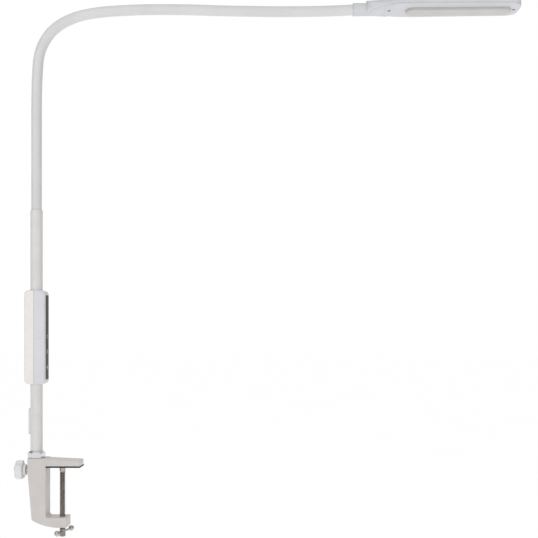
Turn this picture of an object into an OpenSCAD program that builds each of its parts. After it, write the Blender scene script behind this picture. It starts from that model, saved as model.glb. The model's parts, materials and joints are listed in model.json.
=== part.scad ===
// Flexible-neck desk lamp on a screw clamp.
// A swivelling pole carries a touch control box, a bendable neck and a flat light head.
// +X points over the desk towards the head, +Z is up.
// The origin is on the desk face, under the middle of the upper jaw.

/* [Clamp] */
// Depth of the clamp casting, front to back
clamp_depth = 22; // [21:0.5:26]
// Height of the opening between the jaws
throat = 57.5; // [52:0.5:62]
// Diameter of the clamp screw
screw_d = 6.8; // [6.4:0.1:7.2]
// Length of the sliding bar between its ball centres
bar_l = 33; // [30:1:40]
// Diameter of the lock knob
knob_d = 22.2; // [20:0.2:24]

/* [Pole] */
// Outside diameter of the pole
pole_d = 14; // [13.6:0.1:14.4]
// Height of the top end of the pole above the desk face
pole_top = 298.8; // [290:0.2:306]
// Width of the control box, along X
box_w = 24.4; // [24:0.2:26]
// Depth of the control box, along Y
box_t = 21; // [20.6:0.2:23]
// Height of the control box
box_h = 108.8; // [106:0.2:112]

/* [Neck] */
// Outside diameter of the neck
neck_d = 12; // [11.8:0.1:12]
// Length of one half link of the neck
half_link = 28.75; // [27:0.05:30]

/* [Head] */
// Length of the head past the end of the neck
head_l = 188.6; // [186:0.2:200]
// Widest half width of the head
head_hw = 21; // [20:0.2:23]
// Upward tilt of the head
head_tilt = 0.5; // [0:0.1:3]
// Half width of the raised diffuser
lens_r = 9.3; // [8:0.1:10]
// Depth that the diffuser stands proud
lens_proud = 3.2; // [2:0.1:4]

/* [Hidden] */
$fn = 48;
eps = 0.01;

// clamp
spine_in = -20;            // inner face of the spine
pad_t = 1.7;               // thickness of the jaw pad
clamp_top = 10.8;          // where the pole collar stands
jaw_end = 19.2;            // nose of the upper jaw
jaw_nose_z = 8.1;          // top of the upper jaw at its nose
low_end = 4;               // nose of the lower jaw
low_t = 11.7;              // thickness of the lower jaw at its nose
screw_x = -3;              // axis of the clamp screw
screw_fit = 0.05;          // radial running clearance of shafts
cap_h = 5;                 // height of the swivel cap on the screw
cap_gap = 0.2;             // room between the cap and the pad, clamp closed
bar_z = -75.6;             // height of the sliding bar
bar_turn = 74;             // plan direction of the bar
bar_rest = 4;              // how far the bar rests off centre
bar_d = 2.6;
ball_d = 6.6;
lock_z = -3.7;             // height of the lock screw
lock_d = 5.8;
knob_t = 9.2;
hub_t = 3.3;
hub_d = 12.8;

// pole
pole_x = -33.3;            // swivel axis
pin_d = 10;                // pivot pin in the clamp
pin_l = 25;
collar_h = 8;              // hexagonal foot of the pole
collar_w = 20.4;           // across its corners
pole_wall = 1.2;
pole_foot = clamp_top + 0.1 + collar_h;
box_z = 96.6;              // underside of the control box
box_top = box_z + box_h;
box_r = 5;                 // corner radius, seen from the front
box_edge = 2.6;            // corner radius in plan
shell_t = 1.6;
split_x = -0.8;            // parting plane of the box, from the pole axis
low_tube_end = box_z + 15;
up_tube_start = box_top - 15;
panel_hw = 6.5;            // half width of the touch panel
panel_t = 1;
key_z = [115.8, 134, 152]; // heights of the touch keys
board_x = 4;               // control board, from the pole axis
board_t = 1.2;
boss_z = [low_tube_end + 8.6, up_tube_start - 8.6];
gland_z = [38, 69];        // lowest and highest point of the cord gland
gland_r = 3;
cord_r = 0.9;              // radius of the hole for the lead
cord_x = -8.15;            // its place behind the pole's axis

// neck: turn of each half link, in degrees, positive towards +X
turns = [0, 0, 0, 0, 1.5, 3, 27.5, 29.5, 17.5, 7, 2, 2, 1, 1, -1, 0, -1, -1, -1, -1.5];
n_half = len(turns);
n_joint = n_half / 2;
ball_r = 5.2;              // ball at the top of a link
socket_r = 5.5;            // socket at the foot of the next one
shoulder = 3.2;            // gap below a pivot, so that the link can turn
core_r = 4;
core_fit = 0.1;
core_clear = 8;            // core stops this far from a pivot
lead_r = 1.6;

// head, along its own axis from the end of the neck
collar_r = 7.3;
neck_fit = 0.4;            // room round the neck in the collar
collar_back = -5.4;        // collar reaches back over the neck
nose_u = 11;               // nose of the base plate
slope_end = 33;            // where the underside becomes flat
under_w = -1.7;            // flat underside, below the head axis
crown_w = 10.3;            // top of the head
plate_t = 2;
wall_t = 1.6;
lens_u = [65.6, 169];      // centres of the diffuser's round ends
plate_screw_u = [36.8, 182];
board_w = 4.5;             // underside of the light board
chip_n = 22;

// ---------- shared shapes ----------

// points of an arc, from angle a to angle b
function arc(cx, cy, r, a, b, n = 8) = [for (i = [0:n]) let (t = a + (b - a) * i / n)
  [cx + r * cos(t), cy + r * sin(t)]];

// a profile in X and Z, made w deep and centred on Y
module slab(points, w) {
  translate([0, w / 2, 0]) rotate([90, 0, 0]) linear_extrude(w) polygon(points);
}

// a rounded rectangle from lo to hi
function round_rect(lo, hi, r) = concat(
  arc(hi[0] - r, hi[1] - r, r, 0, 90), arc(lo[0] + r, hi[1] - r, r, 90, 180),
  arc(lo[0] + r, lo[1] + r, r, 180, 270), arc(hi[0] - r, lo[1] + r, r, 270, 360));

// a rod between two points
module rod(a, b, r) {
  d = b - a;
  l = norm(d);
  translate(a) rotate([0, acos(d[2] / l), atan2(d[1], d[0])]) cylinder(h = l, r = r);
}

// a lead through several points, with round knuckles
module lead_run(points, r) for (i = [1:len(points) - 1]) {
  rod(points[i - 1], points[i], r);
  if (i < len(points) - 1) translate(points[i]) sphere(r = r + 0.1);
}

// ---------- clamp ----------

function clamp_outline() = concat(
  [[-41.3, clamp_top], [-21, clamp_top], [-18, clamp_top - 0.8], [jaw_end, jaw_nose_z],
   [jaw_end, pad_t], [spine_in, pad_t]],
  arc(spine_in + 3, -throat + 3, 3, 180, 270),
  [[low_end, -throat], [low_end, -throat - low_t]],
  arc(-5, -throat - low_t + 60, 60, 270, 238.6, 10),
  [[-36.7, -throat], [-41, -6]]);

module clamp_body() color("gainsboro") difference() {
  intersection() {
    slab(clamp_outline(), clamp_depth);
    // the lower nose and the back of the spine are rounded in plan
    union() {
      translate([0, 0, -throat + 1]) linear_extrude(100)
        polygon(round_rect([-42, -clamp_depth / 2], [jaw_end, clamp_depth / 2], 2));
      translate([0, 0, -throat - 20]) linear_extrude(21 + eps)
        polygon(round_rect([-42, -clamp_depth / 2], [low_end, clamp_depth / 2], 2));
    }
  }
  // pivot bore
  translate([pole_x, 0, clamp_top - pin_l - 1]) cylinder(h = pin_l + 2, d = pin_d + 2 * screw_fit);
  // lock screw hole
  translate([-45, 0, lock_z]) rotate([0, 90, 0]) cylinder(h = 11, d = lock_d + 2 * screw_fit);
  // clamp screw hole
  translate([screw_x, 0, -throat - 20]) cylinder(h = 30, d = screw_d + 2 * screw_fit);
}

module jaw_pad() color("black") slab([[spine_in, 0], [jaw_end + 0.4, 0], [jaw_end + 0.4, pad_t],
  [spine_in, pad_t]], clamp_depth);

// swivel cap: stays still on the desk while the screw turns in it
module screw_cap() color("silver") translate([screw_x, 0, -cap_gap]) rotate_extrude()
  polygon([[0, 0], [screw_d / 2 - 0.6, 0], [screw_d / 2, -0.6], [screw_d / 2, -cap_h],
    [2.05, -cap_h], [2.05, -1.5], [0, -1.5]]);

screw_top = -cap_gap - 1.6;
screw_end = bar_z - 5.4;
module clamp_screw() color("silver") difference() {
  translate([screw_x, 0, 0]) rotate_extrude() polygon([[0, screw_top], [2, screw_top],
    [2, -cap_gap - cap_h - 0.1], [screw_d / 2, -cap_gap - cap_h - 0.1],
    [screw_d / 2, screw_end + 0.8], [screw_d / 2 - 0.8, screw_end], [0, screw_end]]);
  translate([screw_x, 0, bar_z]) rotate([0, 90, bar_turn])
    cylinder(h = 20, d = bar_d + 2 * screw_fit, center = true);
}

module along_bar() translate([screw_x, 0, bar_z]) rotate([0, 0, bar_turn]) translate([bar_rest, 0, 0])
  children();

module sliding_bar() color("silver") along_bar() rotate([0, 90, 0])
  cylinder(h = bar_l, d = bar_d, center = true);

module bar_balls() color("silver") along_bar() for (s = [-1, 1]) translate([s * bar_l / 2, 0, 0])
  difference() {
    sphere(d = ball_d);
    translate([-s * 5, 0, 0]) rotate([0, 90, 0]) cylinder(h = 10 + eps, d = bar_d, center = true);
  }

// nylon tip between the lock screw and the pin
pin_neck_r = 4.2;
tip_x = pole_x - pin_neck_r - 0.1;
module lock_tip() color("ivory") translate([tip_x, 0, lock_z]) rotate([0, -90, 0])
  rotate_extrude() polygon([[0, 0], [2.88, 0], [2.88, 1.4], [1.2, 1.4], [1.2, 3], [0, 3]]);

lock_x = tip_x - 1.5;      // front end of the lock screw
knob_x = -45.1;            // front of the knob's hub
module lock_screw() color("silver") difference() {
  rod([lock_x, 0, lock_z], [knob_x - hub_t - 5, 0, lock_z], lock_d / 2);
  rod([lock_x + eps, 0, lock_z], [lock_x - 1.7, 0, lock_z], 1.25);
}

// five shallow lobes around the rim, a plain hub towards the clamp
module lock_knob() color("white") translate([knob_x, 0, lock_z]) rotate([0, -90, 0]) difference() {
  union() {
    cylinder(h = hub_t + eps, d = hub_d);
    translate([0, 0, hub_t]) intersection() {
      rotate_extrude() polygon(concat([[0, 0], [knob_d / 2 - 1, 0]],
        [[knob_d / 2, 1]], arc(knob_d / 2 - 3, knob_t - 3, 3, 0, 90, 6), [[0, knob_t]]));
      difference() {
        translate([0, 0, -1]) cylinder(h = knob_t + 2, d = knob_d + 2);
        for (i = [0:4]) rotate([0, 0, 36 + i * 72]) translate([knob_d / 2 + 4.2, 0, -2])
          cylinder(h = knob_t + 4, r = 6);
      }
    }
  }
  translate([0, 0, -eps]) cylinder(h = hub_t + 5 + eps, d = lock_d);
}

// ---------- pole ----------

// hexagonal foot with its pin below and a spigot for the tube above
module swivel_foot() color("silver") translate([pole_x, 0, clamp_top + 0.1]) {
  intersection() {
    rotate([0, 0, 15]) cylinder(h = collar_h, d = collar_w, $fn = 6);
    rotate_extrude() polygon([[0, 0], [collar_w / 2 + 1, 0], [collar_w / 2 + 1, 3.9],
      [pole_d / 2 + 0.5, collar_h], [0, collar_h]]);
  }
  rotate_extrude() polygon([[0, eps], [0, -pin_l], [pin_d / 2 - 1, -pin_l], [pin_d / 2, -pin_l + 1],
    [pin_d / 2, lock_z - clamp_top - 4.1], [pin_neck_r, lock_z - clamp_top - 4.1],
    [pin_neck_r, lock_z - clamp_top + 3.9], [pin_d / 2, lock_z - clamp_top + 3.9], [pin_d / 2, eps]]);
  translate([0, 0, collar_h - eps]) cylinder(h = 14, d = pole_d - 2 * pole_wall - 0.1);
}

module tube(z0, z1, d, wall) translate([pole_x, 0, z0]) difference() {
  cylinder(h = z1 - z0, d = d);
  translate([0, 0, -1]) cylinder(h = z1 - z0 + 2, d = d - 2 * wall);
}

module lower_pole() color("whitesmoke") difference() {
  tube(pole_foot, low_tube_end, pole_d, pole_wall);
  // the lead comes in through the back
  rod([pole_x - 12, 0, gland_z[0] + 13], [pole_x, 0, gland_z[0] + 13], 1.7);
}

// slim ridge on the back of the pole, open below for the lead
module cord_gland() color("whitesmoke") difference() {
  translate([pole_x - 6.3, 0, 0]) {
    translate([0, 0, gland_z[0]]) cylinder(h = gland_z[1] - gland_z[0] - gland_r, r = gland_r);
    translate([0, 0, gland_z[1] - gland_r]) sphere(r = gland_r);
  }
  translate([pole_x, 0, 0]) cylinder(h = 100, d = pole_d);
  translate([pole_x + cord_x, 0, gland_z[0] - 1]) cylinder(h = 15.6, r = cord_r);
  rod([pole_x + cord_x, 0, gland_z[0] + 13], [pole_x, 0, gland_z[0] + 13], cord_r);
}

// two-core lead inside the pole, from the gland to the control board and on to the neck
lead_y = -4.9;             // the lead passes beside the screw bosses
module pole_lead() color("dimgray") translate([pole_x, 0, 0]) {
  lead_run([[0, 0, gland_z[0] + 13], [0, 0, low_tube_end + 1], [1.9, lead_y, low_tube_end + 5],
    [1.9, lead_y, low_tube_end + 15]], lead_r);
  lead_run([[1.9, lead_y, up_tube_start - 15], [1.9, lead_y, up_tube_start - 5],
    [0, 0, up_tube_start - 1], [0, 0, pole_top - foot_l + 20]], lead_r);
}

// outer form of the control box, or its hollow when inset
module box_form(inset) translate([pole_x, 0, 0]) intersection() {
  slab(round_rect([-box_w / 2 + inset, box_z + inset], [box_w / 2 - inset, box_top - inset],
    box_r - inset), box_t + 2);
  translate([0, 0, box_z - 1]) linear_extrude(box_h + 2) polygon(round_rect(
    [-box_w / 2 + inset, -box_t / 2 + inset], [box_w / 2 - inset, box_t / 2 - inset],
    max(box_edge - inset, 0.6)));
}

module box_screw_holes(r, l) for (z = boss_z)
  rod([pole_x - box_w / 2 - 1, 0, z], [pole_x - box_w / 2 + l, 0, z], r);

// box walls with the sockets that grip the two tubes
module box_walls() difference() {
  union() {
    difference() {
      box_form(0);
      box_form(shell_t);
    }
    intersection() {
      box_form(0.5);
      translate([pole_x, 0, 0]) for (z = [box_z + 4, low_tube_end - 3, up_tube_start, box_top - 7])
        translate([-box_w / 2, -box_t / 2, z]) cube([board_x + box_w / 2 - 0.3, box_t, 3]);
    }
    // screw bosses, each on a web from one side wall
    intersection() {
      box_form(0.5);
      union() {
        box_screw_holes(3, board_x + box_w / 2);
        for (z = boss_z) translate([pole_x - box_w / 2, 0, z - 1])
          cube([board_x + box_w / 2, box_t, 2]);
      }
    }
  }
  translate([pole_x, 0, box_z - 1]) cylinder(h = low_tube_end - box_z + 1.1, d = pole_d);
  translate([pole_x, 0, up_tube_start - 0.1]) cylinder(h = box_top - up_tube_start + 2, d = pole_d);
  box_screw_holes(1.25, 14.2);
  box_screw_holes(2.5, 2.4);
}

module rear_shell() color("linen") intersection() {
  box_walls();
  translate([pole_x - 50 + split_x, -25, box_z - 5]) cube([50, 50, box_h + 10]);
}

module front_shell() color("whitesmoke") difference() {
  intersection() {
    box_walls();
    translate([pole_x + split_x + 0.15, -25, box_z - 5]) cube([50, 50, box_h + 10]);
  }
  // seat and window of the touch panel
  translate([pole_x + box_w / 2 - panel_t, -panel_hw - 0.1, box_z + box_r + 0.4])
    cube([5, 2 * panel_hw + 0.2, box_h - 2 * box_r - 0.8]);
  translate([pole_x + box_w / 2 - 3, -panel_hw + 1.5, box_z + box_r + 3])
    cube([4, 2 * panel_hw - 3, box_h - 2 * box_r - 6]);
}

module touch_panel() color("black") translate([pole_x + box_w / 2 - panel_t, 0, 0]) rotate([0, 90, 0])
  linear_extrude(panel_t + 0.15) polygon(round_rect([-box_top + box_r + 0.5, -panel_hw],
    [-box_z - box_r - 0.5, panel_hw], 1.2));

// contact springs between the board and the glass, one under each key
spring_n = 6;
module touch_springs() color("gold") for (z = key_z) translate([pole_x + board_x + board_t, 0, z])
  rotate([0, 90, 0]) rotate_extrude() polygon(let (
    l = box_w / 2 - panel_t - board_x - board_t, p = l / spring_n) concat(
      [for (i = [0:2 * spring_n]) [2.6 + (i % 2) * 0.35, i * p / 2]],
      [for (i = [2 * spring_n:-1:0]) [2.25 - (i % 2) * 0.35, i * p / 2]]));

module control_board() color("darkgreen") translate([pole_x + board_x, -7.5, low_tube_end + 1.5])
  cube([board_t, 15, up_tube_start - low_tube_end - 3]);

// driver chip, coil, capacitor and the two lead connectors on the back of the board
module board_parts() color("dimgray") translate([pole_x + board_x, 0, 0]) {
  for (z = [low_tube_end + 15, up_tube_start - 21]) translate([-4.2, -6.5, z]) cube([4.2, 4.6, 6]);
  translate([-1.6, -2.5, 139]) cube([1.6, 5, 6]);
  translate([-4, -3.5, 149]) cube([4, 7, 7]);
  rod([-7, 2.5, 161.5], [0, 2.5, 161.5], 2.5);
}

module shell_screws() color("silver") for (z = boss_z) {
  rod([pole_x - box_w / 2 + 1.1, 0, z], [pole_x - box_w / 2 + 2.4, 0, z], 2.3);
  rod([pole_x - box_w / 2 + 2.3, 0, z], [pole_x - box_w / 2 + 14, 0, z], 1.2);
}

module upper_pole() color("whitesmoke") tube(up_tube_start, pole_top, pole_d, pole_d / 2 - neck_d / 2 - 0.02);

// ---------- neck ----------

// heading and place at the start of each half link
function heading(k) = k == 0 ? 0 : heading(k - 1) + turns[k - 1];
function step(t) = abs(t) < 0.01 ? [0, half_link]
  : let (r = half_link * 180 / (PI * t)) [r * (1 - cos(t)), r * sin(t)];
function place(k) = k == 0 ? [pole_x, pole_top]
  : let (p = place(k - 1), a = heading(k - 1), s = step(turns[k - 1]))
    [p[0] + s[0] * cos(a) + s[1] * sin(a), p[1] - s[0] * sin(a) + s[1] * cos(a)];

module at_half(k) {
  p = place(k);
  translate([p[0], 0, p[1]]) rotate([0, heading(k), 0]) children();
}

// one half link of radius r, bent by its own turn
module half_rod(k, r) {
  t = turns[k];
  bend_r = abs(t) < 0.01 ? 0 : half_link * 180 / (PI * abs(t));
  at_half(k)
    if (abs(t) < 0.01) cylinder(h = half_link, r = r);
    else if (t > 0) translate([bend_r, 0, 0]) mirror([1, 0, 0]) rotate([90, 0, 0])
      rotate_extrude(angle = t) translate([bend_r, 0]) circle(r = r);
    else translate([-bend_r, 0, 0]) rotate([90, 0, 0])
      rotate_extrude(angle = -t) translate([bend_r, 0]) circle(r = r);
}

// link i runs from pivot i to pivot i + 1; the first starts in the pole, the last ends in the head
function first_half(i) = i == 0 ? 0 : 2 * i - 1;
function last_half(i) = i == n_joint ? n_half - 1 : 2 * i;
foot_l = 28;               // length of the neck inside the pole

module link_rod(i, r) {
  for (k = [first_half(i):last_half(i)]) half_rod(k, r);
  // fine band where the two halves meet
  if (i > 0 && i < n_joint) at_half(2 * i) cylinder(h = 1, r = r + 0.05, center = true);
  if (i == 0) translate([pole_x, 0, pole_top - foot_l]) cylinder(h = foot_l + eps, r = r);
}

// a link's rod, cut back at each of its pivots
module core_rod(i, r, clear) difference() {
  link_rod(i, r);
  if (i > 0) at_half(first_half(i)) sphere(r = clear);
  if (i < n_joint) at_half(last_half(i) + 1) sphere(r = clear);
}

module neck_jacket(i) color("whitesmoke") difference() {
  union() {
    difference() {
      link_rod(i, neck_d / 2);
      if (i < n_joint) at_half(last_half(i) + 1) translate([0, 0, -shoulder])
        cylinder(h = shoulder + 1, r = neck_d);
    }
    if (i < n_joint) at_half(last_half(i) + 1) sphere(r = ball_r);
  }
  if (i > 0) at_half(first_half(i)) sphere(r = socket_r);
  core_rod(i, core_r + core_fit, core_clear - core_fit);
  if (i < n_joint) at_half(last_half(i) + 1) translate([0, 0, -core_clear - 1])
    cylinder(h = core_clear + 8, r = lead_r);
  if (i > 0) at_half(first_half(i)) cylinder(h = core_clear + 1, r = lead_r);
}

// steel flex inside a link, hollow for the lead
module neck_core(i) color("silver") difference() {
  core_rod(i, core_r, core_clear);
  link_rod(i, lead_r + 0.6);
  if (i == n_joint) at_half(n_half) translate([0, 0, -7]) cylinder(h = 8, r = core_r + 1);
}

// ---------- head ----------

module at_head() {
  p = place(n_half);
  translate([p[0], 0, p[1]]) rotate([0, -head_tilt, 0]) children();
}

tip_r = 12;                // rounding of the head's tip in plan
// half width of the shell along the head
function shell_hw(u) =
  u <= 34 ? collar_r + (head_hw - 3.1 - collar_r) * sqrt(max(0, 1 - pow((34 - u) / 24, 2)))
  : u <= 70 ? head_hw - 3.1 + 3.1 * sin(90 * (u - 34) / 36)
  : u <= head_l - tip_r ? head_hw - 1.8 * (u - 70) / (head_l - tip_r - 70)
  : head_hw - 1.8 - tip_r + tip_r * sqrt(max(0, 1 - pow((u - head_l + tip_r) / tip_r, 2)));
// half width of the base plate's nose
function nose_hw(u) = (head_hw - 3.4) * pow(max(0, 1 - pow((39 - u) / (39 - nose_u), 2)), 0.65);

shell_stations = concat([for (i = [0:8]) 10 + 24 * (1 - cos(i * 90 / 8))], [43, 52, 61, 70],
  [for (i = [0:6]) head_l - tip_r + tip_r * sin(i * 90 / 6)]);
nose_stations = [for (i = [0:8]) nose_u + (37 - nose_u) * (1 - cos(i * 90 / 8))];

// closed outline from stations and their half widths
function outline(us, hs) = concat([for (i = [0:len(us) - 1]) [us[i], -hs[i]]],
  [for (i = [len(us) - 1:-1:0]) [us[i], hs[i]]]);
function shell_outline(inset) = let (us = shell_stations)
  outline([for (u = us) min(max(u, 10 + inset), head_l - inset)], [for (u = us) shell_hw(u) - inset]);

// the nose is free of the shell, the rest is as wide as the shell
function plate_outline(inset, wide) = outline(
  concat([for (u = nose_stations) u + inset], [for (u = shell_stations) if (u > 38) min(u, head_l + wide)]),
  concat([for (u = nose_stations) max(nose_hw(u) - inset, 0.3)],
    [for (u = shell_stations) if (u > 38) shell_hw(u) + wide]));

// height of the underside, and of the crown, along the head
function under(u) = u < nose_u ? -collar_r
  : u < slope_end ? -collar_r + (under_w + collar_r) * (1 - cos(90 * (u - nose_u) / (slope_end - nose_u)))
  : under_w;
under_stations = concat([collar_back - 1, nose_u], [for (i = [1:6]) nose_u + (slope_end - nose_u) * i / 6]);

// side profile between two offsets from the underside and the crown
function side_profile(lift, drop) = concat(
  [for (u = under_stations) [u, under(u) + lift]], [[head_l + 2, under_w + lift],
   [head_l + 2, crown_w - 4.4 - drop]],
  [for (i = [0:6]) [head_l - 36 + 36 * cos(i * 15), crown_w - drop - 4 + 4 * sin(i * 15)]],
  [[52, crown_w - drop], [34, crown_w - 0.7 - drop], [16, collar_r + 0.3 - drop],
   [collar_back - 1, collar_r - drop]]);

// cross profile of the crown
function cross_profile(drop) = concat([[-head_hw - 2, -12], [head_hw + 2, -12], [head_hw + 2, 1]],
  arc(head_hw - 7 - drop, 1, 7, 0, 60, 6), [[0, crown_w - drop]],
  arc(-head_hw + 7 + drop, 1, 7, 120, 180, 6), [[-head_hw - 2, 1]]);

// roof over the nose: falls to both sides, and rises gently towards the tip
roof_rise = 5.7;
roof_fall = 0.705;
module nose_roof(drop) translate([10, 0, 1.5 - 1.22 * drop]) rotate([0, -roof_rise, 0]) rotate([90, 0, 90])
  translate([0, 0, -30]) linear_extrude(head_l + 60) polygon([[-60, -60], [60, -60],
    [60, -44 * roof_fall], [0, 16 * roof_fall], [-60, -44 * roof_fall]]);

// underside with a keel that fades out behind the nose
keel_rise = 0.35;
keel_tilt = 2.3;
module bottom_form(lift) intersection() {
  slab(concat([for (u = under_stations) [u, under(u) + lift]],
    [[head_l + 5, under_w + lift], [head_l + 5, 30], [collar_back - 1, 30]]), 80);
  translate([14, 0, lift - collar_r]) rotate([0, keel_tilt, 0]) rotate([90, 0, 90])
    translate([0, 0, -30]) linear_extrude(head_l + 60)
    polygon([[0, 0], [60, 60 * keel_rise], [60, 60], [-60, 60], [-60, 60 * keel_rise]]);
}

module head_form(inset, lift) intersection() {
  nose_roof(inset);
  bottom_form(lift);
  translate([0, 0, -20]) linear_extrude(40) polygon(shell_outline(inset));
  slab(side_profile(lift, inset), 80);
  translate([-10, 0, 0]) rotate([90, 0, 90]) linear_extrude(head_l + 20) polygon(cross_profile(inset));
}

module stadium(r, w0, w1) translate([0, 0, w0]) linear_extrude(w1 - w0)
  polygon(concat(arc(lens_u[1], 0, r, -90, 90, 16), arc(lens_u[0], 0, r, 90, 270, 16)));

module collar_bores() {
  translate([collar_back - 1, 0, 0]) rotate([0, 90, 0]) cylinder(h = -collar_back + 1.5, r = neck_d / 2 + neck_fit);
  rotate([0, 90, 0]) cylinder(h = 20, r = 3.6);
}

boss_r = 2.4;
module top_shell() color("whitesmoke") at_head() difference() {
  union() {
    difference() {
      union() {
        translate([collar_back, 0, 0]) rotate([0, 90, 0]) cylinder(h = 20, r = collar_r);
        head_form(0, 0);
      }
      // hollow inside, leaving the collar solid up to its end wall
      intersection() {
        head_form(wall_t, 0);
        translate([14, -40, -20]) cube([head_l, 80, 40]);
        translate([0, 0, -20]) linear_extrude(40) polygon(plate_outline(0.8, 0));
      }
    }
    intersection() {
      head_form(0.5, 0);
      for (u = plate_screw_u) translate([u, 0, under_w]) cylinder(h = 20, r = boss_r);
    }
  }
  // room for the base plate
  difference() {
    translate([0, 0, -20]) linear_extrude(40) polygon(plate_outline(0, 2));
    bottom_form(plate_t + 0.05);
  }
  collar_bores();
  for (u = plate_screw_u) translate([u, 0, under_w - 1]) cylinder(h = 9, r = 1.15);
}

module base_plate() color("whitesmoke") at_head() difference() {
  intersection() {
    translate([0, 0, -20]) linear_extrude(40) polygon(plate_outline(0.12, -0.15));
    bottom_form(0);
  }
  bottom_form(plate_t);
  stadium(lens_r + 0.1, -20, 20);
  for (u = plate_screw_u) translate([u, 0, under_w - 1]) {
    cylinder(h = 5, r = 1.2);
    cylinder(h = 2.2, r = 1.85);
  }
}

module diffuser() color("lightgray") at_head() {
  stadium(lens_r, under_w - lens_proud, under_w + plate_t + 1);
  stadium(lens_r + 1, under_w + plate_t + 0.02, under_w + plate_t + 1.2);
}

// white walls that guide the light down to the diffuser
module reflector() color("white") at_head() difference() {
  stadium(lens_r + 0.9, under_w + plate_t + 1.2, board_w);
  stadium(lens_r - 0.3, 0, board_w + 1);
}

module light_board() color("silver") at_head() stadium(lens_r + 0.6, board_w, board_w + 1.2);

module light_chips() color("khaki") at_head() for (i = [0:chip_n - 1], s = [-1, 1])
  translate([lens_u[0] - 4 + i * (lens_u[1] - lens_u[0] + 8) / (chip_n - 1), s * 4, board_w - 0.4])
    cube([2.8, 3.5, 0.8], center = true);

module plate_screws() color("dimgray") at_head() for (u = plate_screw_u) translate([u, 0, 0]) {
  translate([0, 0, under_w + 0.1]) difference() {
    cylinder(h = 1.1, r = 1.7);
    translate([-1.2, -0.2, -0.1]) cube([2.4, 0.4, 0.5]);
    translate([-0.2, -1.2, -0.1]) cube([0.4, 2.4, 0.5]);
  }
  translate([0, 0, under_w + 1.1]) cylinder(h = 6, r = 1.1);
}

// threaded stud at the end of the flex, held by a round nut inside the head
module neck_stud() color("gold") at_head() rotate([0, 90, 0]) difference() {
  union() {
    translate([0, 0, -0.5]) cylinder(h = 19.65, r = 3.5);
    translate([0, 0, -4]) cylinder(h = 3.95, r = core_r - 0.1);
  }
  translate([0, 0, -5]) cylinder(h = 30, r = lead_r);
}

module neck_nut() color("gold") at_head() translate([14.05, 0, 0]) rotate([0, 90, 0]) difference() {
  cylinder(h = 3, r = 4.5);
  translate([0, 0, -1]) cylinder(h = 5, r = 3.5);
}

// lead from the stud to the light board
head_route = [[19.5, 0, 0], [28, 7, 2.4], [50, 7, 6.9], [66, 5, 6.9]];
module head_lead() color("dimgray") at_head() lead_run(head_route, 1.1);

// ---------- what is drawn ----------

clamp_body();
jaw_pad();
screw_cap();
clamp_screw();
sliding_bar();
bar_balls();
lock_tip();
lock_screw();
lock_knob();
swivel_foot();
lower_pole();
cord_gland();
pole_lead();
rear_shell();
front_shell();
touch_panel();
touch_springs();
control_board();
board_parts();
shell_screws();
upper_pole();
for (i = [0:n_joint]) {
  neck_jacket(i);
  neck_core(i);
}
neck_stud();
neck_nut();
top_shell();
base_plate();
diffuser();
reflector();
light_board();
light_chips();
plate_screws();
head_lead();
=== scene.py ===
import json
import math

import bmesh
import bpy
from mathutils import Matrix, Vector


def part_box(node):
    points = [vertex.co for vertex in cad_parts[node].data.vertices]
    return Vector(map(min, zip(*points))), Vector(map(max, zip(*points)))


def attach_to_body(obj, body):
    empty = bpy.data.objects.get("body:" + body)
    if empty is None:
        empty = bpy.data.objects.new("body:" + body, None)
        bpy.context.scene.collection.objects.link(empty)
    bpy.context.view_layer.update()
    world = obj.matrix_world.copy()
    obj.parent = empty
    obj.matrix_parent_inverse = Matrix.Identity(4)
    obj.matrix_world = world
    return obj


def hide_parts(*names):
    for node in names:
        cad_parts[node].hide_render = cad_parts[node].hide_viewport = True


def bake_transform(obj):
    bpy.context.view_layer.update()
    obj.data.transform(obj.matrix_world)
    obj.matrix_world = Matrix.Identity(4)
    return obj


bl_info = {
    "name": "Clamp Desk Lamp",
    "version": (1, 0, 0),
    "blender": (4, 5, 0),
    "location": "3D View > Sidebar > Desk Lamp",
    "description": "Builds the looks of a clamp desk lamp with a bendable neck around its packed frame",
    "category": "Object",
}

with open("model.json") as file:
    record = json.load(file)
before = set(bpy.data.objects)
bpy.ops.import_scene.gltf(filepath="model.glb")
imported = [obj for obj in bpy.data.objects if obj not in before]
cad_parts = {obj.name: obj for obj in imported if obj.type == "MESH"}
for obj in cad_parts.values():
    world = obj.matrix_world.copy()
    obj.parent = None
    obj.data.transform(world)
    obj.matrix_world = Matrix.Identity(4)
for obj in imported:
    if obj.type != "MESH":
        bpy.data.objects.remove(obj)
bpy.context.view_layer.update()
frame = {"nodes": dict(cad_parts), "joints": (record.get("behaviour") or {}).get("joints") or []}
NODES = frame["nodes"]
JOINTS = {joint["name"]: joint for joint in frame["joints"]}
MM = 0.001
TAU = 2 * math.pi

# ---------- places, worked out from the frame ----------

POLE_X = JOINTS["pole_swivel"]["pos_m"][0]
NECK_JOINTS = sum(name.startswith("neck_") for name in JOINTS)
NECK_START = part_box("upper_pole")[1].z
# turn of each half link in degrees, as in the part's source
HALF_TURNS = [0, 0, 0, 0, 1.5, 3, 27.5, 29.5, 17.5, 7, 2, 2, 1, 1, -1, 0, -1, -1, -1, -1.5]
HALF_LINK = (JOINTS["neck_2"]["pos_m"][2] - JOINTS["neck_1"]["pos_m"][2]) / 2
NECK_R = 6 * MM
HEAD_TILT = math.radians(0.5)


# ---------- sizes and colours that a user may change ----------

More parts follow.
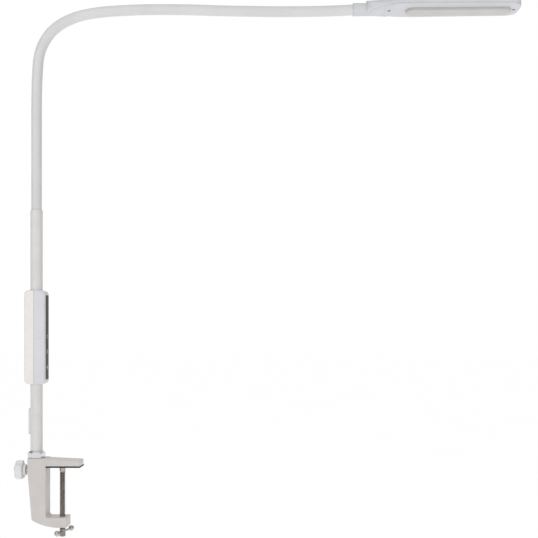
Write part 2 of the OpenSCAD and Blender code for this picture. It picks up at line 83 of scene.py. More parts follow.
class LampShape(bpy.types.PropertyGroup):
    """Small sizes of the visible forms."""
    clamp_edge: bpy.props.FloatProperty(
        name="Clamp edge", description="Rounding of the clamp casting's edges",
        default=0.7 * MM, min=0.2 * MM, max=0.75 * MM, unit="LENGTH")
    box_edge: bpy.props.FloatProperty(
        name="Box edge", description="Rounding of the control box's long edges",
        default=2.6 * MM, min=1 * MM, max=4 * MM, unit="LENGTH")
    thread_pitch: bpy.props.FloatProperty(
        name="Thread pitch", description="Rise of the clamp screw's thread in one turn",
        default=2 * MM, min=1 * MM, max=3 * MM, unit="LENGTH")
    thread_depth: bpy.props.FloatProperty(
        name="Thread depth", description="Height of the thread's ridge",
        default=0.75 * MM, min=0.3 * MM, max=1 * MM, unit="LENGTH")
    sleeve_wall: bpy.props.FloatProperty(
        name="Sleeve wall", description="Wall thickness of the neck's flexible sleeve",
        default=1 * MM, min=0.5 * MM, max=1.5 * MM, unit="LENGTH")


class LampLooks(bpy.types.PropertyGroup):
    """Colours of the finishes, as sRGB hex values."""
    casting: bpy.props.StringProperty(
        name="Casting", description="Powder coat of the clamp casting", default="D0CBC8")
    tube: bpy.props.StringProperty(
        name="Tube", description="Powder coat of the pole", default="DCDBDA")
    sleeve: bpy.props.StringProperty(
        name="Sleeve", description="Flexible sleeve of the neck", default="D7D7D7")
    rear_shell: bpy.props.StringProperty(
        name="Rear shell", description="Rear half of the control box", default="ECE9E7")
    front_shell: bpy.props.StringProperty(
        name="Front shell", description="Front half of the control box", default="DAD9DD")
    head: bpy.props.StringProperty(
        name="Head", description="Top shell and base plate of the head", default="CFD0D3")
    opal: bpy.props.StringProperty(
        name="Diffuser", description="Milky acrylic of the diffuser", default="C4C2C0")
    knob: bpy.props.StringProperty(
        name="Knob", description="Lock knob", default="E4E4E6")


class LampStage(bpy.types.PropertyGroup):
    """Camera, floor and light."""
    floor: bpy.props.StringProperty(
        name="Floor", description="Colour of the floor as an sRGB hex value", default="FBFBFB")
    floor_z: bpy.props.FloatProperty(
        name="Floor height", description="Height of the floor below the desk face",
        default=-0.36, min=-1, max=-0.14, unit="LENGTH")
    sky: bpy.props.FloatProperty(
        name="Backdrop", description="Brightness of the plain backdrop",
        default=1.0, min=0, max=3)
    room: bpy.props.FloatProperty(
        name="Room light", description="Strength of the soft light from all round",
        default=0.86, min=0, max=3)
    key: bpy.props.FloatProperty(
        name="Key light", description="Power of the large soft light in front",
        default=6, min=0, max=200, unit="POWER")


# ---------- small helpers ----------

def linear(hex_colour):
    """An sRGB hex value as a linear colour with alpha."""
    parts = [int(hex_colour[i:i + 2], 16) / 255 for i in (0, 2, 4)]
    return [c / 12.92 if c <= 0.04045 else ((c + 0.055) / 1.055) ** 2.4 for c in parts] + [1.0]


def put(tree, kind, sockets=(), **settings):
    """Adds a node, sets its properties, then sets or joins its input sockets."""
    node = tree.nodes.new(kind)
    for key, value in settings.items():
        setattr(node, key, value)
    for key, value in dict(sockets).items():
        socket = node.inputs[key]
        if isinstance(value, bpy.types.NodeSocket):
            tree.links.new(value, socket)
        else:
            socket.default_value = value
    return node


def mesh_piece(name, bm, material, flip_check=True):
    """Turns a bmesh into a smooth-shaded piece at the origin."""
    if flip_check:
        bmesh.ops.recalc_face_normals(bm, faces=bm.faces)
    data = bpy.data.meshes.new(name)
    bm.to_mesh(data)
    bm.free()
    return finish_piece(name, data, material)


def finish_piece(name, data, material, sharp=35.0):
    """Links a mesh as a piece, smooth but for its sharp edges."""
    data.materials.clear()
    data.materials.append(material)
    data.shade_smooth()
    data.set_sharp_from_angle(angle=math.radians(sharp))
    piece = bpy.data.objects.new(name, data)
    bpy.context.scene.collection.objects.link(piece)
    return piece


def evaluated(piece):
    """Replaces a piece's mesh with what its modifiers make, and removes them."""
    depsgraph = bpy.context.evaluated_depsgraph_get()
    made = bpy.data.meshes.new_from_object(piece.evaluated_get(depsgraph))
    name, old = piece.data.name, piece.data
    piece.modifiers.clear()
    piece.data = made
    bpy.data.meshes.remove(old)
    made.name = name
    return piece


def skin(bm, rings, cap=True, wrap=False):
    """Joins rings of equally many points into a skin, closed by end faces or back to its start."""
    rows = [[bm.verts.new(p) for p in ring] for ring in rings]
    pairs = list(zip(rows, rows[1:])) + ([(rows[-1], rows[0])] if wrap else [])
    for a, b in pairs:
        for i in range(len(a)):
            j = (i + 1) % len(a)
            bm.faces.new((a[i], a[j], b[j], b[i]))
    if cap and not wrap:
        bm.faces.new(list(reversed(rows[0])))
        bm.faces.new(rows[-1])


def turned(bm, profile, place, sides=64, radius=None):
    """Turns a profile of (height, radius) points about the local Z axis of place.
    radius(angle, height, r) may shape each ring."""
    rings = []
    for height, r in profile:
        ring = []
        for i in range(sides):
            angle = TAU * i / sides
            rr = radius(angle, height, r) if radius else r
            ring.append(place @ Vector((rr * math.cos(angle), rr * math.sin(angle), height)))
        rings.append(ring)
    skin(bm, rings)


def round_end(profile_r, height, edge, up, steps=4):
    """Profile points of a rounded rim at the given height."""
    sign = 1 if up else -1
    points = []
    for i in range(steps + 1):
        a = math.pi / 2 * i / steps
        points.append((height - sign * edge * (1 - math.sin(a)), profile_r - edge * (1 - math.cos(a))))
    return points if up else list(reversed(points))


def rod_profile(r, low, high, edge):
    """A plain rod's profile with rounded rims."""
    return round_end(r, low, edge, False) + round_end(r, high, edge, True)


def tube_profile(r, inner, low, high, edge):
    """Closed profile of a tube with rounded outer rims, for skin(wrap=True)."""
    return rod_profile(r, low, high, edge) + [(high, inner), (low, inner)]


def arc(cx, cz, r, start, end, steps=8):
    """Points of an arc, angles in degrees."""
    return [(cx + r * math.cos(math.radians(start + (end - start) * i / steps)),
             cz + r * math.sin(math.radians(start + (end - start) * i / steps)))
            for i in range(steps + 1)]


def rounded_rectangle(lo, hi, r, steps=8):
    """Outline of a rectangle with round corners."""
    return (arc(hi[0] - r, hi[1] - r, r, 0, 90, steps) + arc(lo[0] + r, hi[1] - r, r, 90, 180, steps)
            + arc(lo[0] + r, lo[1] + r, r, 180, 270, steps) + arc(hi[0] - r, lo[1] + r, r, 270, 360, steps))


def inset(outline, distance):
    """An outline moved inwards, with mitred corners."""
    count = len(outline)
    area = sum(outline[i][0] * outline[(i + 1) % count][1] - outline[(i + 1) % count][0] * outline[i][1]
               for i in range(count))
    sign = 1 if area > 0 else -1
    moved = []
    for i in range(count):
        before, here, after = (Vector(outline[k % count]) for k in (i - 1, i, i + 1))
        a, b = (here - before).normalized(), (after - here).normalized()
        na, nb = Vector((-a.y, a.x)) * sign, Vector((-b.y, b.x)) * sign
        shift = (na + nb) / max(1 + na.dot(nb), 0.35)
        moved.append((here.x + shift.x * distance, here.y + shift.y * distance))
    return moved


def cushion_slab(bm, outline, half_depth, edge, steps=5):
    """An outline in X and Z made a slab about Y = 0, its rims rounded."""
    rings = []
    for side in (-1, 1):
        order = range(steps, -1, -1) if side < 0 else range(steps + 1)
        for i in order:
            a = math.pi / 2 * i / steps
            y = side * (half_depth - edge * (1 - math.sin(a)))
            rings.append([Vector((x, y, z)) for x, z in inset(outline, edge * (1 - math.cos(a)))])
    skin(bm, rings)


def rounded_copy(node, name, material, edge, steps=3, corner=30.0, keep=None):
    """A copy of a CAD node with its sharp edges rounded."""
    bm = bmesh.new()
    bm.from_mesh(NODES[node].data)
    bmesh.ops.remove_doubles(bm, verts=bm.verts, dist=2e-6)
    bmesh.ops.dissolve_limit(bm, angle_limit=math.radians(0.6), verts=bm.verts, edges=bm.edges)
    edges = [e for e in bm.edges if e.is_manifold and e.calc_face_angle(0) > math.radians(corner)
             and (keep is None or keep(e))]
    bmesh.ops.bevel(bm, geom=edges, offset=edge, offset_type="OFFSET", segments=steps,
                    profile=0.5, affect="EDGES", clamp_overlap=False)
    bmesh.ops.triangulate(bm, faces=[f for f in bm.faces if len(f.verts) > 4])
    return mesh_piece(name, bm, material, flip_check=False)


def drill(piece, cutter_bm, name):
    """Cuts a closed shape out of a piece."""
    data = bpy.data.meshes.new(name)
    bmesh.ops.recalc_face_normals(cutter_bm, faces=cutter_bm.faces)
    cutter_bm.to_mesh(data)
    cutter_bm.free()
    cutter = bpy.data.objects.new(name, data)
    bpy.context.scene.collection.objects.link(cutter)
    cut = piece.modifiers.new("cut", "BOOLEAN")
    cut.operation, cut.solver, cut.object = "DIFFERENCE", "EXACT", cutter
    bpy.context.view_layer.update()
    evaluated(piece)
    bpy.data.objects.remove(cutter)
    bpy.data.meshes.remove(data)
    piece.data.shade_smooth()
    piece.data.set_sharp_from_angle(angle=math.radians(35))
    return piece


def bore(piece, name, place, low, high, radius, sides=64):
    """Drills a round hole along the local Z axis of place."""
    cutter = bmesh.new()
    turned(cutter, [(low, radius), (high, radius)], place, sides)
    return drill(piece, cutter, name)


def node_tree(name, inputs):
    """A Geometry Nodes tree with a geometry output, and its named inputs."""
    tree = bpy.data.node_groups.new(name, "GeometryNodeTree")
    for label, kind in {"Geometry": "Geometry", **inputs, "Finish": "Material"}.items():
        tree.interface.new_socket(label, in_out="INPUT", socket_type="NodeSocket" + kind)
    tree.interface.new_socket("Geometry", in_out="OUTPUT", socket_type="NodeSocketGeometry")
    return tree, tree.nodes.new("NodeGroupInput").outputs


def end_tree(tree, geometry, finish):
    """Ends a tree in real geometry that has its material."""
    real = put(tree, "GeometryNodeRealizeInstances", {"Geometry": geometry})
    done = put(tree, "GeometryNodeSetMaterial", {"Geometry": real.outputs["Geometry"], "Material": finish})
    put(tree, "NodeGroupOutput", {"Geometry": done.outputs["Geometry"]})
    return tree


def grown(name, data, tree, values):
    """A piece that a Geometry Nodes tree makes from a mesh and named values."""
    piece = bpy.data.objects.new(name, data)
    bpy.context.scene.collection.objects.link(piece)
    growth = piece.modifiers.new(tree.name, "NODES")
    growth.node_group = tree
    for item in tree.interface.items_tree:
        if item.item_type == "SOCKET" and item.in_out == "INPUT" and item.name in values:
            growth[item.identifier] = values[item.name]
    return evaluated(piece)


def attach(piece, body, slot, *nodes):
    """Makes a piece ride on a body in place of CAD nodes, its flat faces kept flat by weighted normals."""
    even = piece.modifiers.new("even_normals", "WEIGHTED_NORMAL")
    even.keep_sharp = True
    bpy.context.view_layer.update()
    evaluated(piece)
    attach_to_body(piece, body)
    if nodes:
        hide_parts(*nodes)
    return piece


def dress(nodes, material):
    """Gives CAD nodes a material."""
    for name in nodes:
        data = NODES[name].data
        data.materials.clear()
        data.materials.append(material)


# ---------- materials ----------

_made = {}


def material(name, build, *values):
    """The named material, built once."""
    if name not in _made:
        made = bpy.data.materials.new(name)
        made.use_nodes = True
        made.node_tree.nodes.clear()
        shader = build(made.node_tree, *values)
        put(made.node_tree, "ShaderNodeOutputMaterial", {"Surface": shader.outputs[0]})
        _made[name] = made
    return _made[name]


def grain(tree, size_mm, detail=3.0):
    """Noise with features of a real size, in object space."""
    where = put(tree, "ShaderNodeTexCoord")
    return put(tree, "ShaderNodeTexNoise", {"Vector": where.outputs["Object"], "Scale": 1 / (size_mm * MM),
                                            "Detail": detail, "Roughness": 0.55})


def two_tones(tree, noise, dark, light, low=0.35, high=0.65):
    """A gentle change between two colours that follows the noise."""
    ramp = put(tree, "ShaderNodeValToRGB", {"Fac": noise.outputs["Fac"]})
    ramp.color_ramp.elements[0].position = low
    ramp.color_ramp.elements[0].color = linear(dark)
    ramp.color_ramp.elements[1].position = high
    ramp.color_ramp.elements[1].color = linear(light)
    return ramp.outputs["Color"]


def scaled(tree, noise, low, high):
    """The noise mapped to a range of numbers."""
    mapped = put(tree, "ShaderNodeMapRange", {"Value": noise.outputs["Fac"], "To Min": low, "To Max": high})
    return mapped.outputs["Result"]


def shade(hex_colour, by):
    """A hex colour made darker or lighter by a number of steps of 255."""
    parts = [min(255, max(0, int(hex_colour[i:i + 2], 16) + by)) for i in (0, 2, 4)]
    return "".join(f"{p:02X}" for p in parts)


def powder_coat(tree, colour):
    """Baked powder coat on metal: satin, with the faint orange peel of the flowed powder."""
    tone = two_tones(tree, grain(tree, 14), shade(colour, -3), shade(colour, 2))
    peel = put(tree, "ShaderNodeBump", {"Strength": 0.22, "Distance": 0.05 * MM,
                                        "Height": grain(tree, 0.9, 2).outputs["Fac"]})
    return put(tree, "ShaderNodeBsdfPrincipled", {
        "Base Color": tone, "Roughness": scaled(tree, grain(tree, 5), 0.36, 0.46),
        "Normal": peel.outputs["Normal"], "Coat Weight": 0.15, "Coat Roughness": 0.3})


def moulded_abs(tree, colour):
    """ABS from a spark-eroded mould: an even fine texture that breaks up the highlights."""
    tone = two_tones(tree, grain(tree, 22), shade(colour, -2), shade(colour, 2))
    spark = put(tree, "ShaderNodeBump", {"Strength": 0.3, "Distance": 0.04 * MM,
                                         "Height": grain(tree, 0.45, 2).outputs["Fac"]})
    return put(tree, "ShaderNodeBsdfPrincipled", {
        "Base Color": tone, "Roughness": scaled(tree, grain(tree, 8), 0.44, 0.54),
        "Normal": spark.outputs["Normal"], "IOR": 1.52})


def soft_sleeve(tree, colour):
    """Extruded PVC sleeve: satin and slightly waxy, with soft waves along its length."""
    tone = two_tones(tree, grain(tree, 30), shade(colour, -3), shade(colour, 2))
    wave = put(tree, "ShaderNodeBump", {"Strength": 0.18, "Distance": 0.08 * MM,
                                        "Height": grain(tree, 2.5, 1).outputs["Fac"]})
    return put(tree, "ShaderNodeBsdfPrincipled", {
        "Base Color": tone, "Roughness": scaled(tree, grain(tree, 6), 0.4, 0.5),
        "Normal": wave.outputs["Normal"], "Subsurface Weight": 0.05, "Subsurface Scale": 1 * MM})


def polished_chrome(tree):
    """Chrome plate: mirror bright, with wipe marks that only show in the highlights."""
    return put(tree, "ShaderNodeBsdfPrincipled", {
        "Base Color": linear("D8D8DA"), "Metallic": 1.0,
        "Roughness": scaled(tree, grain(tree, 1.2), 0.05, 0.14)})


def zinc_steel(tree, colour):
    """Turned steel with bright zinc: grey, lathe lines round the axis, dulled in patches."""
    where = put(tree, "ShaderNodeTexCoord")
    lines = put(tree, "ShaderNodeMapping", {"Vector": where.outputs["Object"], "Scale": (1, 1, 12)})
    streaks = put(tree, "ShaderNodeTexNoise", {"Vector": lines.outputs["Vector"], "Scale": 1 / (2 * MM),
                                               "Detail": 3.0})
    tone = two_tones(tree, grain(tree, 3), shade(colour, -26), colour)
    cut = put(tree, "ShaderNodeBump", {"Strength": 0.15, "Distance": 0.02 * MM,
                                       "Height": streaks.outputs["Fac"]})
    return put(tree, "ShaderNodeBsdfPrincipled", {
        "Base Color": tone, "Metallic": 1.0, "Roughness": scaled(tree, streaks, 0.24, 0.42),
        "Normal": cut.outputs["Normal"]})


def black_rubber(tree):
    """Moulded nitrile pad: matt black with a pebbled skin."""
    pebble = put(tree, "ShaderNodeBump", {"Strength": 0.5, "Distance": 0.08 * MM,
                                          "Height": grain(tree, 0.6, 2).outputs["Fac"]})
    return put(tree, "ShaderNodeBsdfPrincipled", {
        "Base Color": two_tones(tree, grain(tree, 4), "17181A", "222326"),
        "Roughness": 0.82, "Normal": pebble.outputs["Normal"]})


def black_acrylic(tree):
    """Back-printed acrylic: deep black under a hard clear gloss, with a faint haze of fine wear."""
    return put(tree, "ShaderNodeBsdfPrincipled", {
        "Base Color": two_tones(tree, grain(tree, 9), "0B0C0E", "131417"),
        "Roughness": scaled(tree, grain(tree, 1.5), 0.07, 0.16), "IOR": 1.22,
        "Specular IOR Level": 0.12, "Coat Weight": 0.04, "Coat Roughness": 0.04})


def opal_acrylic(tree, colour):
    """Milky acrylic: light sinks in a little, so edges look soft; the surface is fine frosted."""
    frost = put(tree, "ShaderNodeBump", {"Strength": 0.15, "Distance": 0.03 * MM,
                                         "Height": grain(tree, 0.4, 2).outputs["Fac"]})
    return put(tree, "ShaderNodeBsdfPrincipled", {
        "Base Color": two_tones(tree, grain(tree, 18), shade(colour, -2), shade(colour, 2)),
        "Roughness": scaled(tree, grain(tree, 7), 0.36, 0.46), "IOR": 1.49,
        "Subsurface Weight": 0.3, "Subsurface Scale": 2.5 * MM, "Normal": frost.outputs["Normal"]})


def printed_ink(tree):
    """White screen ink on the panel: flat and a little rough."""
    return put(tree, "ShaderNodeBsdfPrincipled", {
        "Base Color": two_tones(tree, grain(tree, 0.8), "DADCE0", "F2F3F5"), "Roughness": 0.6})


def plain_metal(tree, dark, light, rough):
    """Small bright metal parts: even colour with slight tarnish."""
    return put(tree, "ShaderNodeBsdfPrincipled", {
        "Base Color": two_tones(tree, grain(tree, 2), dark, light), "Metallic": 1.0,
        "Roughness": scaled(tree, grain(tree, 1), rough, rough + 0.12)})


def plain_plastic(tree, dark, light, rough):
    """Small moulded, cast or printed parts: one colour, slightly mottled."""
    return put(tree, "ShaderNodeBsdfPrincipled", {
        "Base Color": two_tones(tree, grain(tree, 2), dark, light),
        "Roughness": scaled(tree, grain(tree, 1), rough, rough + 0.1)})


def lit_floor(tree, colour, glow):
    """Pale laminate lit from within, so that it runs into the backdrop without a horizon."""
    return put(tree, "ShaderNodeBsdfPrincipled", {
        "Base Color": two_tones(tree, grain(tree, 400), "7A7A7A", "7C7C7C"), "Roughness": 1.0,
        "Specular IOR Level": 0.0, "Emission Color": linear(colour), "Emission Strength": glow})


def shape():
    """The sizes that a user may change."""
    return bpy.context.scene.lamp_shape


def looks():
    """The colours that a user may change."""
    return bpy.context.scene.lamp_looks


# ---------- the neck's line ----------

def neck_line():
    """Place and heading at the start of each half link, in the plane Y = 0."""
    x, z, heading = POLE_X, NECK_START, 0.0
    line = [(x, z, heading)]
    for turn in HALF_TURNS:
        x, z, heading = walk(x, z, heading, math.radians(turn), HALF_LINK)
        line.append((x, z, heading))
    return line


def walk(x, z, heading, turn, length):
    """Follows an arc of the given turn and length."""
    if abs(turn) < 1e-6:
        across, along = 0.0, length
    else:
        radius = length / turn
        across, along = radius * (1 - math.cos(turn)), radius * math.sin(turn)
    return (x + across * math.cos(heading) + along * math.sin(heading),
            z - across * math.sin(heading) + along * math.cos(heading), heading + turn)


LINE = neck_line()


def head_place():
    """The head's own frame: X along the head, Z up."""
    x, z, _ = LINE[-1]
    return Matrix.Translation((x, 0, z)) @ Matrix.Rotation(-HEAD_TILT, 4, "Y")


# ---------- operators ----------

class LampPiece(bpy.types.Operator):
    """Common to all pieces."""
    bl_options = {"REGISTER", "UNDO"}

    def execute(self, context):
        self.build()
        return {"FINISHED"}


class LAMP_OT_clamp(LampPiece):
    """Cast clamp with rounded rims, and the rubber pad under its upper jaw"""
    bl_idname = "lamp.clamp"
    bl_label = "Clamp"

    # lower jaw, in millimetres: its top, its reach, and the radius of its underside
    LOW_TOP, LOW_END, LOW_R = -57.5, 4.0, 60.0
    # upper side: where it steps down, to what height, and its height at the nose
    NECK_IN, NECK_DROP, NOSE = -21.0, 10.0, 8.1
    # radii of the nose, the throat's lower corner and the lower jaw's end
    NOSE_R, THROAT_R, LOW_END_R = 1.2, 3, 0.8
    # radii of the holes for the swivel pin, the clamp screw and the lock screw
    PIN_BORE_R, SCREW_HOLE_R, LOCK_HOLE_R = 5.05 * MM, 3.45 * MM, 2.95 * MM

    def outline(self):
        """The casting's side view, in millimetres."""
        lo, hi = (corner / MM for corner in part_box("clamp_body"))
        pad_lo, pad_hi = (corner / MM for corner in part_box("jaw_pad"))
        rear = pad_lo.x
        end = self.LOW_END - self.LOW_END_R
        return ([(lo.x, hi.z)] + [(self.NECK_IN, hi.z), (self.NECK_IN + 1.5, hi.z - 0.35),
                (self.NECK_IN + 3, self.NECK_DROP), (hi.x - self.NOSE_R, self.NOSE + 0.12)]
                + arc(hi.x - self.NOSE_R, self.NOSE - 1.1, self.NOSE_R, 88, 0, 4)
                + [(hi.x, pad_hi.z), (rear, pad_hi.z)]
                + arc(rear + self.THROAT_R, self.LOW_TOP + self.THROAT_R, self.THROAT_R, 180, 270, 6)
                + arc(end, self.LOW_TOP - self.LOW_END_R, self.LOW_END_R, 90, 0, 3)
                + arc(end, lo.z + self.LOW_END_R, self.LOW_END_R, 0, -90, 3)
                + arc(-5, lo.z + self.LOW_R, self.LOW_R, 270, 238.6, 12)
                + [(-36.7, self.LOW_TOP), (-41, -6)])

    def build(self):
        coat = material("powder_coated_casting", powder_coat, looks().casting)
        bm = bmesh.new()
        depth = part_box("clamp_body")[1].y
        outline = [(x * MM, z * MM) for x, z in self.outline()]
        cushion_slab(bm, outline, depth, shape().clamp_edge)
        piece = mesh_piece("clamp_casting", bm, coat)
        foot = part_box("swivel_foot")
        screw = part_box("clamp_screw")
        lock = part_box("lock_screw")
        centre = (screw[0].x + screw[1].x) / 2
        lock_z = (lock[0].z + lock[1].z) / 2
        sideways = Matrix.Translation((-45 * MM, 0, lock_z)) @ Matrix.Rotation(math.pi / 2, 4, "Y")
        at_pin = Matrix.Translation((POLE_X, 0, 0))
        at_screw = Matrix.Translation((centre, 0, 0))
        bore(piece, "pin_bore", at_pin, foot[0].z - 1 * MM, 20 * MM, self.PIN_BORE_R)
        bore(piece, "screw_hole", at_screw, -80 * MM, -50 * MM, self.SCREW_HOLE_R)
        bore(piece, "lock_hole", sideways, 0, 11 * MM, self.LOCK_HOLE_R)
        attach(piece, "clamp", "coated_metal", "clamp_body")

        rubber = material("nitrile_pad", black_rubber)
        pad = rounded_copy("jaw_pad", "jaw_pad_rubber", rubber, 0.35 * MM)
        attach(pad, "clamp", "rubber_pad", "jaw_pad")


class LAMP_OT_screw(LampPiece):
    """Threaded clamp screw, its swivel cap, and the sliding bar with its balls"""
    bl_idname = "lamp.screw"
    bl_label = "Clamp screw"

    # how far the plain foot reaches above the bar, and the radius of the tip that turns in the cap
    FOOT_ABOVE_BAR, TIP_R = 2.2 * MM, 2 * MM

    def tree(self):
        """Geometry nodes that wind a ridge round a core."""
        sizes = ("Radius", "Depth", "Pitch", "Length", "Bottom", "Centre")
        tree, given = node_tree("thread", {name: "Float" for name in sizes})
        turns = put(tree, "ShaderNodeMath", {0: given["Length"], 1: given["Pitch"]}, operation="DIVIDE")
        middle = put(tree, "ShaderNodeMath", {0: given["Radius"], 1: given["Depth"]}, operation="SUBTRACT")
        helix = put(tree, "GeometryNodeCurveSpiral", {
            "Resolution": 28, "Rotations": turns.outputs[0], "Start Radius": middle.outputs[0],
            "End Radius": middle.outputs[0], "Height": given["Length"]})
        level = put(tree, "GeometryNodeSetCurveNormal", {"Curve": helix.outputs["Curve"]}, mode="Z_UP")
        ridge = put(tree, "GeometryNodeCurvePrimitiveCircle", {"Resolution": 4, "Radius": given["Depth"]})
        wound = put(tree, "GeometryNodeCurveToMesh", {
            "Curve": level.outputs["Curve"], "Profile Curve": ridge.outputs["Curve"], "Fill Caps": True})
        core = put(tree, "GeometryNodeMeshCylinder", {
            "Vertices": 32, "Radius": middle.outputs[0], "Depth": given["Length"]})
        half = put(tree, "ShaderNodeMath", {0: given["Length"], 1: 0.5}, operation="MULTIPLY")
        lift = put(tree, "ShaderNodeCombineXYZ", {"Z": half.outputs[0]})
        raised = put(tree, "GeometryNodeTransform", {
            "Geometry": core.outputs["Mesh"], "Translation": lift.outputs[0]})
        both = put(tree, "GeometryNodeJoinGeometry")
        tree.links.new(raised.outputs["Geometry"], both.inputs[0])
        tree.links.new(wound.outputs["Mesh"], both.inputs[0])
        spot = put(tree, "ShaderNodeCombineXYZ", {"X": given["Centre"], "Z": given["Bottom"]})
        moved = put(tree, "GeometryNodeTransform", {
            "Geometry": both.outputs[0], "Translation": spot.outputs[0]})
        return end_tree(tree, moved.outputs["Geometry"], given["Finish"])

    def build(self):
        steel = material("zinc_plated_steel", zinc_steel, "A39A93")
        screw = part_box("clamp_screw")
        centre, radius = (screw[0].x + screw[1].x) / 2, (screw[1].x - screw[0].x) / 2
        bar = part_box("sliding_bar")
        plain_top = bar[1].z + self.FOOT_ABOVE_BAR
        cap_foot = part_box("screw_cap")[0].z - 0.1 * MM
        depth = shape().thread_depth
        values = {"Radius": radius, "Depth": depth, "Pitch": shape().thread_pitch,
                  "Length": cap_foot - plain_top - depth, "Bottom": plain_top, "Centre": centre,
                  "Finish": steel}
        start = bpy.data.meshes.new("clamp_screw_thread")
        piece = grown("clamp_screw_thread", start, self.tree(), values)
        thread = piece.data
        # plain foot, and the tip that turns in the cap
        bm = bmesh.new()
        bm.from_mesh(thread)
        place = Matrix.Translation((centre, 0, 0))
        turned(bm, rod_profile(radius, screw[0].z, plain_top + 0.2 * MM, 0.7 * MM), place, 48)
        turned(bm, rod_profile(self.TIP_R, cap_foot - 1 * MM, screw[1].z, 0.2 * MM), place, 32)
        bmesh.ops.recalc_face_normals(bm, faces=bm.faces)
        bm.to_mesh(thread)
        bm.free()
        bpy.data.objects.remove(piece)
        piece = finish_piece("clamp_screw_steel", thread, steel)
        attach(piece, "screw", "steel", "clamp_screw")

        dress(["screw_cap", "sliding_bar", "bar_balls"], material("bright_zinc", zinc_steel, "C9C5C0"))


class LAMP_OT_knob(LampPiece):
    """Lobed lock knob on its screw"""
    bl_idname = "lamp.knob"
    bl_label = "Lock knob"

    # finger hollows: how many, their radius, and how far past the rim their centres lie
    LOBES, CUT_R, CUT_OUT = 5, 6.0, 4.2
    # thickness of the lobed part, and height and radius of the round hub behind it
    THICK, HUB, HUB_R = 9.2, 3.3, 6.4

    def build(self):
        white = material("gloss_white_knob", moulded_abs, looks().knob)
        lo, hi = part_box("lock_knob")
        radius = (hi.y - lo.y) / 2 / MM
        thick, hub, hub_r = self.THICK, self.HUB, self.HUB_R
        centre_z = (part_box("lock_screw")[0].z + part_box("lock_screw")[1].z) / 2
        away = radius + self.CUT_OUT

        def lobed(angle, height, r):
            """Each ring keeps its distance from the five finger hollows."""
            if height < hub * MM + 1e-6:
                return r
            turn = (angle - math.radians(36)) % (TAU / self.LOBES)
            turn = min(turn, TAU / self.LOBES - turn)
            shrink = radius * MM - r
            cut = self.CUT_R * MM + shrink
            sine = away * MM * math.sin(turn)
            if abs(sine) >= cut:
                return r
            return min(r, away * MM * math.cos(turn) - math.sqrt(cut * cut - sine * sine))

        profile = ([(0, hub_r - 0.4), (0.15, hub_r), (hub - 0.3, hub_r), (hub + 0.01, hub_r + 0.3)]
                   + [(hub + 0.05, radius - 1.4)] + [(hub + 0.25, radius - 0.5), (hub + 0.8, radius - 0.1)]
                   + [(hub + 1.4, radius), (hub + thick - 3, radius)]
                   + [(hub + thick - 3 + 3 * math.sin(a), radius - 3 + 3 * math.cos(a))
                      for a in (math.radians(d) for d in (15, 30, 45, 60, 75, 88))]
                   + [(hub + thick, radius - 4.2), (hub + thick - 0.35, radius - 5.2)])
        place = Matrix.Translation((hi.x, 0, centre_z)) @ Matrix.Rotation(-math.pi / 2, 4, "Y")
        bm = bmesh.new()
        turned(bm, [(h * MM, r * MM) for h, r in profile], place, 160, lobed)
        piece = mesh_piece("lock_knob_white", bm, white)
        attach(piece, "lock", "knob_plastic", "lock_knob")
        dress(["lock_screw"], material("bright_zinc", zinc_steel, "C9C5C0"))
        dress(["lock_tip"], material("natural_nylon", plain_plastic, "DAD5C4", "E6E2D4", 0.5))


class LAMP_OT_foot(LampPiece):
    """Chromed hexagonal foot of the pole with its pin"""
    bl_idname = "lamp.foot"
    bl_label = "Swivel foot"

    # the pin below this height keeps its sharp edges, where it turns in the clamp
    PIN_TOP = 10.5 * MM

    def build(self):
        chrome = material("chrome_plate", polished_chrome)
        piece = rounded_copy("swivel_foot", "swivel_foot_chrome", chrome, 0.3 * MM, 3, 25,
                             keep=lambda e: min(v.co.z for v in e.verts) > self.PIN_TOP)
        attach(piece, "pole", "chrome", "swivel_foot")


class LAMP_OT_pole(LampPiece):
    """Both tubes of the pole and the cord gland on its back"""
    bl_idname = "lamp.pole"
    bl_label = "Pole"

    # sides of the tubes, bore of the lower one, and rounding of their ends
    SIDES, LOWER_BORE_R, END_EDGE = 72, 5.8 * MM, 0.5 * MM
    # hole for the lead: its radius, how far it lies behind the gland's centre, and its depth
    CORD_R, CORD_BACK, CORD_DEPTH = 1.2 * MM, 1.1 * MM, 14 * MM

    def tube(self, node, inner, edge):
        """A round tube on the pole's axis, with the CAD node's height and outer radius."""
        lo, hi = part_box(node)
        bm = bmesh.new()
        profile = tube_profile((hi.x - lo.x) / 2, inner, lo.z, hi.z, edge)
        around = [TAU * i / self.SIDES for i in range(self.SIDES)]
        rings = [[Vector((POLE_X + r * math.cos(a), r * math.sin(a), h)) for a in around] for h, r in profile]
        skin(bm, rings, wrap=True)
        return bm

    def build(self):
        coat = material("powder_coated_tube", powder_coat, looks().tube)
        for node, inner in (("lower_pole", self.LOWER_BORE_R), ("upper_pole", NECK_R + 0.02 * MM)):
            piece = mesh_piece(node + "_tube", self.tube(node, inner, self.END_EDGE), coat)
            attach(piece, "pole", "coated_tube", node)
        gland = material("moulded_gland", moulded_abs, looks().tube)
        lo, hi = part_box("cord_gland")
        radius = (hi.y - lo.y) / 2
        centre = lo.x + radius
        bm = bmesh.new()
        foot_edge = round_end(radius, lo.z, self.END_EDGE, False)
        profile = ([(lo.z, radius - self.END_EDGE)] + foot_edge[1:]
                   + round_end(radius, hi.z, radius - 0.3 * MM, True, 8))
        turned(bm, profile, Matrix.Translation((centre, 0, 0)), 40)
        piece = mesh_piece("cord_gland_white", bm, gland)
        bore(piece, "cord_hole", Matrix.Translation((centre - self.CORD_BACK, 0, 0)),
             lo.z - 1 * MM, lo.z + self.CORD_DEPTH, self.CORD_R, 24)
        attach(piece, "pole", "shell_white", "cord_gland")


